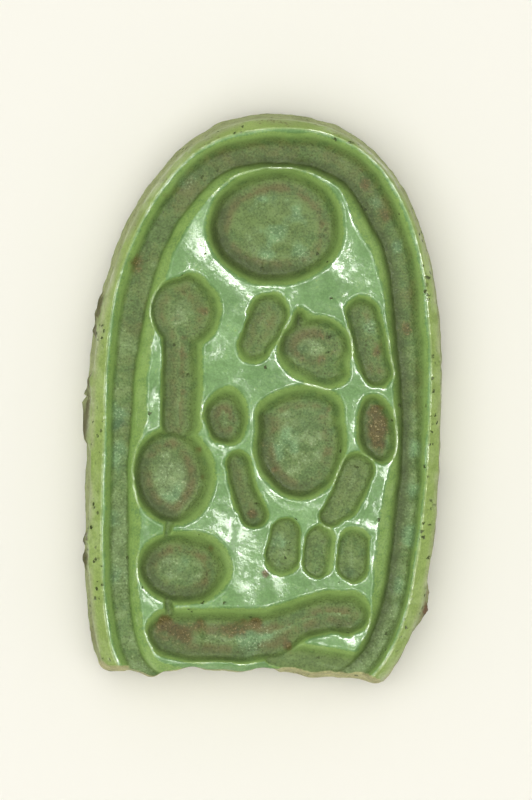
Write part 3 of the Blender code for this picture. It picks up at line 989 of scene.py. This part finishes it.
def hoop_roots(x, y):
    """1 on the broken roots of the hoop, at both long sides of the back, and 0 between them."""
    ragged = ROOT_RAGGED * rough_noise(x, y, ROOT_GRAIN, 67)
    root = 0.0
    for side in (-1, 1):
        across = ROOT_REACH - (HALF_WIDTH - side * x)
        along = ROOT_LENGTH / 2 - np.abs(y - ROOT_Y)
        inside = (across + along - np.hypot(across - along, ROOT_ROUNDING)) / 2
        root = root + smooth_step((inside + ragged) / ROOT_SLOPE)
    return root


def back_relief(x, y):
    """The height of the back, with the low roots of the hoop at both long sides (mm)."""
    swell = BACK_SWELL * rough_noise(x, y, BACK_GRAIN, 61)
    root = hoop_roots(x, y)
    rough = BREAK_ROUGH * np.abs(rough_noise(x, y, BREAK_GRAIN, 65, 4))
    return (PLATE_BACK_Z + swell) * (1 - root) + rough * root


def pressed(blank, plan, oval):
    """Presses the blank to its true form, and notes on each point what its finish depends on."""
    places = places_of(blank)
    ring = np.rint(-places[:, 2]).astype(int)
    flat = places[:, :2]
    near = plan.nearest(flat)
    face, back = ring == 0, ring > WALL_RINGS
    wall = ~face & ~back

    relief = face_relief(flat[face, 0], flat[face, 1], oval)
    places[face, 2] = FIELD_Z + relief.height

    edge = face_relief(plan.points[:, 0], plan.points[:, 1], oval)
    foot_points = plan.points + flare(plan, np.arange(len(plan.points)))
    foot_height = back_relief(foot_points[:, 0], foot_points[:, 1])
    share = ring[wall] / WALL_RINGS
    at = near[wall]
    along, down = plan.along[at], share * WALL_HEIGHT
    spread = flare(plan, at) * smooth_step(WALL_START + (1 - WALL_START) * share)[:, None]
    out = WALL_ROUGH * rough_noise(along, down, WALL_GRAIN, 71, 4) * smooth_step(2 * share)
    red, soil = np.zeros(len(at)), np.zeros(len(at))
    ragged = 1 + LUMP_RAGGED * rough_noise(along, down, LUMP_EDGE_GRAIN, 75)
    for lump in LUMPS:
        away = np.hypot(*(plan.points[at] - (lump.x, lump.y)).T)
        lump_share = ragged * hump(away, lump.half_length) * hump(share - lump.height, LUMP_HALF_HEIGHT)
        out = out + lump.reach * lump_share
        red = np.maximum(red, lump.red * lump_share)
        soil = np.maximum(soil, (1 - lump.red) * lump_share)
    crust = smooth_step(CRUST_MEAN + CRUST_CONTRAST * rough_noise(along, down, CRUST_GRAIN, 77, 4))
    brown = spotted((BROWN_SIDE,), plan.points[at, 0], plan.points[at, 1])
    places[wall, :2] = plan.points[at] + spread + plan.outward[at] * out[:, None]
    top, low = FIELD_Z + edge.height[at], foot_height[at] + BACK_EDGE_RISE
    places[wall, 2] = top + (low - top) * share

    places[back, :2] += flare(plan, near[back])
    places[back, 2] = back_relief(places[back, 0], places[back, 1])
    places[:, 2] = np.maximum(places[:, 2], 0.0)
    set_places(blank, places * MM)

    notes = {name: np.zeros(len(places)) for name in (*Relief._fields[1:], *WALL_NOTES)}
    for name in Relief._fields[1:]:
        notes[name][face] = getattr(relief, name)
    notes["rim"][wall] = edge.rim[at] * smooth_step(1 - 2 * share)
    notes["side"][wall] = smooth_step(share * 4)
    notes["side"][back] = 1
    notes["stain"][wall] = brown
    notes["burnt"][wall] = red * (CLAY_LEFT + (1 - CLAY_LEFT) * crust)
    notes["soil"][wall] = np.minimum(SOIL_GAIN * soil, 1.0) * (SOIL_LEFT + (1 - SOIL_LEFT) * crust)
    # the glaze that ran over the break gives way to bare paste further down
    bare_low = smooth_step(share * 3 - 0.6)
    notes["bare"][wall] = plan.broken[at] * np.maximum(bare_break(plan.points[at, 0]), bare_low)
    # only the tops of the roots are broken faces
    back_x, back_y = places[back, 0], places[back, 1]
    notes["bare"][back] = smooth_step(5 * hoop_roots(back_x, back_y) - 4)
    notes["soil"][back] = BACK_SOIL * smooth_step(0.5 + rough_noise(back_x, back_y, BACK_SOIL_GRAIN, 85, 4))
    for name, values in notes.items():
        attribute = blank.data.attributes.new(name, "FLOAT", "POINT")
        attribute.data.foreach_set("value", values.astype(np.float32))


def linear(hex_colour):
    """A colour for a shader from its sRGB hex value."""
    channels = [int(hex_colour[i:i + 2], 16) / 255 for i in (0, 2, 4)]
    return [c / 12.92 if c <= 0.04045 else ((c + 0.055) / 1.055) ** 2.4 for c in channels] + [1.0]


def add_node(material, kind, inputs=(), **settings):
    """Adds a node to a material, sets it up, and gives each input its value or its link."""
    node = material.node_tree.nodes.new(kind)
    for name, value in settings.items():
        setattr(node, name, value)
    for socket, value in dict(inputs).items():
        if isinstance(value, bpy.types.NodeSocket):
            material.node_tree.links.new(value, node.inputs[socket])
        else:
            node.inputs[socket].default_value = value
    return node


# The glaze's patterns: the size of a grain in mm, how much finer detail it has, and how rough it is.
Pattern = namedtuple("Pattern", "grain detail roughness")
PATTERNS = {
    "grit": Pattern(0.085, 2.0, 0.60),
    "mottle": Pattern(0.45, 4.0, 0.62),
    "cloud": Pattern(1.9, 3.0, 0.55),
    "peel": Pattern(0.50, 2.0, 0.50),
    "ripple": Pattern(0.13, 2.0, 0.55),
}

# Pinholes burst in the glaze, in mm: how far apart, how wide the widest are, and how far out of line.
PINHOLE_CELL = 0.29
PINHOLE_WIDTH = 0.095
PINHOLE_BEND = 0.9

# How deep each pattern is cut into the surface, in mm.
BUMP_DEPTHS = {"peel": 0.020, "ripple": 0.020, "grit": 0.032, "pinhole": 0.035}

# Each layer of colour goes over the last: what it follows, from where to where, and its colour.
Layer = namedtuple("Layer", "source low high colour")
LAYERS = (
    Layer("cloud", 0.36, 0.64, "82aa6b"),
    Layer("tone", 0.02, 0.16, "8eae5f"),
    # the two deeper tone stops darken the walls into the hollows: partly thicker glaze, partly painted
    # shade
    Layer("tone", 0.26, 0.60, "75914c"),
    Layer("tone", 0.56, 0.94, "687e43"),
    Layer("rim", 0.00, 1.00, "97af60"),
    Layer("floor", 0.00, 1.00, "6b8346"),
    Layer("mossy", 0.00, 1.00, "5f8249"),
    Layer("frosting", 0.00, 1.15, "7e9562"),
    Layer("bloom", 0.00, 1.35, "769a68"),
    Layer("copper", 0.00, 1.20, "47663f"),
    Layer("ring", 0.05, 1.10, "68673a"),
    # painted glints: pale specks on the grains of the frosted and bloomed floors
    Layer("painted_floor_glints", 0.00, 1.00, "a6b48a"),
    # painted shade at wall feet, in creases and at the channel's rounded end, partly also dark pooled glaze
    Layer("shade", 0.05, 1.00, "4e5e2f"),
    Layer("dark_specks", 0.00, 1.00, "555a2b"),
    Layer("edge", 0.00, 1.00, "a6b07e"),
    Layer("side", 0.00, 1.00, "9ea873"),
    Layer("crumbs", 0.20, 0.75, "62613a"),
    Layer("clay", 0.15, 0.85, "6f563c"),
    Layer("rust", 0.25, 1.05, "5f562b"),
    Layer("rust_specks", 0.00, 1.00, "4a3d20"),
    # painted glints: pale specks on the grains of the iron stains
    Layer("painted_rust_glints", 0.00, 1.40, "a79a6a"),
    Layer("bare", 0.20, 0.80, "b7b582"),
    Layer("pinhole", 0.10, 0.90, "4d5a2c"),
)


def faience_glaze():
    """Copper-green alkaline glaze on moulded quartz paste, fired once.

    It is glassy where it lies thick on the field, thin and lime green on the slopes, and matt and
    gritty in the hollows, where sand and iron stains lie. Its sides are thin-glazed and rough. Its colour
    also holds painted shade at the feet of walls and in the hollows, and painted glints on the grit.
    """
    material = bpy.data.materials.new("Glazed quartz faience")
    material.use_nodes = True
    shader = material.node_tree.nodes["Principled BSDF"]
    here = add_node(material, "ShaderNodeTexCoord").outputs["Object"]
    share = {
        name: add_node(material, "ShaderNodeAttribute", attribute_name=name).outputs["Fac"]
        for name in (*Relief._fields[1:], *WALL_NOTES)
    }
    for name, pattern in PATTERNS.items():
        share[name] = add_node(material, "ShaderNodeTexNoise", {
            "Vector": here, "Scale": 1 / (pattern.grain * MM),
            "Detail": pattern.detail, "Roughness": pattern.roughness,
        }).outputs["Fac"]
    bent = add_node(material, "ShaderNodeVectorMath", {
        0: share["mottle"], 1: (PINHOLE_BEND * MM, 0, -PINHOLE_BEND * MM), 2: here,
    }, operation="MULTIPLY_ADD").outputs["Vector"]
    pinholes = add_node(material, "ShaderNodeTexVoronoi", {
        "Vector": bent, "Scale": 1 / (PINHOLE_CELL * MM),
    })
    share["apart"], share["chance"] = pinholes.outputs["Distance"], pinholes.outputs["Color"]

    # sums and products of two shares, by name
    for name, operation, first, second in (
        ("speckle", "ADD", "grit", "mottle"),
        ("speckle", "MULTIPLY", "speckle", 0.5),
        ("uneven", "SUBTRACT", "speckle", 0.5),
        ("uneven", "MULTIPLY", "uneven", 0.55),
        ("tone", "ADD", "hollow", "uneven"),
        ("grainy", "MULTIPLY", "uneven", 3.2),
        ("rust", "ADD", "stain", "grainy"),
        ("crumbs", "ADD", "soil", "grainy"),
        ("clay", "ADD", "burnt", "grainy"),
        ("patch", "ADD", "cloud", "mottle"),
    ):
        share[name] = add_node(material, "ShaderNodeMath", {
            0: share[first], 1: share.get(second, second),
        }, operation=operation).outputs["Value"]

    # what lies between two values of a share, from 0 to 1 or as given
    for name, source, low, high, to_low, to_high in (
        ("floor", "tone", 0.80, 1.02, 0.0, 1.0),
        ("grey", "speckle", 0.36, 0.64, 0.37, 0.61),
        ("patchy", "patch", 0.84, 1.16, 0.35, 1.0),
        ("frosty", "patch", 0.84, 1.12, 0.25, 1.0),
        ("mossy", "patch", 1.00, 0.82, 0.0, 0.42),
        ("dull", "hollow", 0.12, 0.70, 0.0, 1.0),
        ("near", "apart", 0.6 * PINHOLE_WIDTH / PINHOLE_CELL, PINHOLE_WIDTH / PINHOLE_CELL, 1.0, 0.0),
        ("few", "chance", 0.88, 0.90, 0.0, 1.0),
        ("many", "chance", 0.34, 0.36, 0.0, 1.0),
        # the grains of grit that get painted glints
        ("glinting_grains", "grit", 0.56, 0.70, 0.0, 0.7),
        ("soot", "grit", 0.45, 0.30, 0.0, 0.85),
        ("clustered", "cloud", 0.46, 0.60, 0.10, 0.9),
        ("clear", "worn", 0.0, 1.0, 1.0, 0.15),
        ("dashes", "mottle", 0.42, 0.55, 0.10, 1.0),
    ):
        share[name] = add_node(material, "ShaderNodeMapRange", {
            "Value": share[source], "From Min": low, "From Max": high, "To Min": to_low, "To Max": to_high,
        }, interpolation_type="SMOOTHSTEP").outputs["Result"]

    for name, operation, first, second in (
        ("ring", "MULTIPLY", "foot", "patchy"),
        ("frosting", "MULTIPLY", "frost", "frosty"),
        ("mossy", "MULTIPLY", "mossy", "dull"),
        ("matt", "MAXIMUM", "dull", "side"),
        ("outer", "MAXIMUM", "rim", "side"),
        ("many", "MULTIPLY", "many", "outer"),
        ("many", "MULTIPLY", "many", "clustered"),
        ("chosen", "MAXIMUM", "few", "many"),
        ("sandy", "MAXIMUM", "frosting", "bloom"),
        ("painted_floor_glints", "MULTIPLY", "glinting_grains", "sandy"),
        ("peppered", "MAXIMUM", "foot", 0.45),
        ("rust_specks", "MULTIPLY", "soot", "rust"),
        ("painted_rust_glints", "MULTIPLY", "glinting_grains", "rust"),
        ("dark_specks", "MULTIPLY", "soot", "dull"),
        ("dark_specks", "MULTIPLY", "dark_specks", "peppered"),
        ("pinhole", "MULTIPLY", "near", "chosen"),
        ("open", "MAXIMUM", "matt", "bare"),
        ("open", "MAXIMUM", "open", "pinhole"),
        ("clear", "MULTIPLY", "clear", "dashes"),
        ("grained", "MAXIMUM", "open", 0.6),
    ):
        share[name] = add_node(material, "ShaderNodeMath", {
            0: share[first], 1: share.get(second, second),
        }, operation=operation, use_clamp=True).outputs["Value"]

    for name, source, to_low, to_high in (("rough", "open", 0.35, 0.62), ("glassy", "open", 1.0, 0.03)):
        share[name] = add_node(material, "ShaderNodeMapRange", {
            "Value": share[source], "To Min": to_low, "To Max": to_high,
        }).outputs["Result"]
    coat = add_node(material, "ShaderNodeMath", {
        0: share["glassy"], 1: share["clear"],
    }, operation="MULTIPLY")

    colour = linear("739b5c")
    for layer in LAYERS:
        cover = add_node(material, "ShaderNodeMapRange", {
            "Value": share[layer.source], "From Min": layer.low, "From Max": layer.high,
        }, interpolation_type="SMOOTHSTEP").outputs["Result"]
        colour = add_node(material, "ShaderNodeMix", {
            0: cover, 6: colour, 7: linear(layer.colour),
        }, data_type="RGBA").outputs[2]
    colour = add_node(material, "ShaderNodeMix", {
        0: share["grained"], 6: colour, 7: share["grey"],
    }, data_type="RGBA", blend_type="OVERLAY").outputs[2]

    normal = add_node(material, "ShaderNodeBump", {
        "Height": share["peel"], "Distance": BUMP_DEPTHS["peel"] * MM,
    }).outputs["Normal"]
    for name, cover, invert in (
        ("ripple", share["patchy"], False),
        ("grit", share["open"], False),
        ("pinhole", 1.0, True),
    ):
        normal = add_node(material, "ShaderNodeBump", {
            "Height": share[name], "Distance": BUMP_DEPTHS[name] * MM, "Strength": cover, "Normal": normal,
        }, invert=invert).outputs["Normal"]

    for value, socket in (
        (colour, "Base Color"), (share["rough"], "Roughness"), (normal, "Normal"),
        (coat.outputs["Value"], "Coat Weight"), (normal, "Coat Normal"),
    ):
        material.node_tree.links.new(value, shader.inputs[socket])
    shader.inputs["Coat Roughness"].default_value = 0.11
    shader.inputs["Coat IOR"].default_value = 1.55
    shader.inputs["Specular IOR Level"].default_value = 0.08
    return material


def ivory_card():
    """Smooth matt card: one even pale colour, with no shine."""
    material = bpy.data.materials.new("Ivory card")
    material.use_nodes = True
    shader = material.node_tree.nodes["Principled BSDF"]
    shader.inputs["Base Color"].default_value = linear("fbf9ef")
    shader.inputs["Roughness"].default_value = 1.0
    shader.inputs["Specular IOR Level"].default_value = 0.0
    return material


def lamp(name, width, height, place, radiance):
    """A flat lamp of even brightness, aimed at the bezel."""
    light = bpy.data.lights.new(name, "AREA")
    light.shape = "RECTANGLE"
    light.size, light.size_y = width, height
    light.energy = radiance * math.pi * width * height
    obj = bpy.data.objects.new(name, light)
    obj.location = place
    obj.rotation_mode = "QUATERNION"
    obj.rotation_quaternion = (-Vector(place)).to_track_quat("-Z", "Y")
    obj.visible_camera = False
    bpy.context.scene.collection.objects.link(obj)
    return obj


def studio():
    """A pale card under soft light from above, and a ring of strips that only the glaze mirrors."""
    world = bpy.data.worlds.new("Pale studio")
    bpy.context.scene.world = world
    world.use_nodes = True
    background = world.node_tree.nodes["Background"]
    background.inputs["Color"].default_value = linear("fffefb")
    background.inputs["Strength"].default_value = ROOM_BRIGHTNESS

    bpy.ops.object.select_all(action="DESELECT")
    bpy.ops.mesh.primitive_plane_add(size=CARD_SIZE)
    floor = bpy.context.object
    floor.name = "floor"
    floor.data.materials.append(ivory_card())

    overhead = lamp("overhead", OVERHEAD_SIZE, OVERHEAD_SIZE, OVERHEAD_PLACE, OVERHEAD_BRIGHTNESS)
    overhead.visible_glossy = False
    out = RING_DISTANCE * math.sin(WINDOW_OFF_AXIS)
    height = RING_DISTANCE * math.cos(WINDOW_OFF_AXIS)
    place = (out * math.cos(RING_BRIGHTEST), out * math.sin(RING_BRIGHTEST), height)
    for name, width, tall, radiance in WINDOW_PARTS:
        lamp(name, width, tall, place, radiance).visible_diffuse = False

    out = RING_DISTANCE * math.sin(RING_OFF_AXIS)
    height = RING_DISTANCE * math.cos(RING_OFF_AXIS)
    width = math.tau * out / RING_STRIPS * STRIP_SHARE
    for i in range(RING_STRIPS):
        turn = math.tau * (i + 0.5) / RING_STRIPS
        place = (out * math.cos(turn), out * math.sin(turn), height)
        radiance = RING_MEAN + RING_SWING * math.cos(turn - RING_BRIGHTEST)
        lamp(f"ring strip {i + 1}", width, RING_WIDTH, place, radiance).visible_diffuse = False


def overhead_camera():
    """A very long lens looking straight down on the face."""
    camera = bpy.data.cameras.new("camera")
    camera.lens = 500
    camera.sensor_width = 36
    camera.clip_end = 10
    obj = bpy.data.objects.new("camera", camera)
    obj.location = (CAMERA_SHIFT[0] * MM, CAMERA_SHIFT[1] * MM, FACE_Z * MM + CAMERA_HEIGHT)
    bpy.context.scene.collection.objects.link(obj)
    bpy.context.scene.camera = obj
    bpy.context.scene.view_settings.view_transform = "Standard"


whole_oval = Plan(oval_points())
face_plan = broken_plan(0.0)
bezel = pressing_blank(face_plan, broken_plan(-BACK_ROUNDING))
pressed(bezel, face_plan, whole_oval)
bezel.data.materials.append(faience_glaze())
bpy.ops.object.select_all(action="DESELECT")
bezel.select_set(True)
bpy.context.view_layer.objects.active = bezel
bpy.ops.object.shade_smooth()
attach(bezel, "root")
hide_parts("ring_bezel")
studio()
overhead_camera()
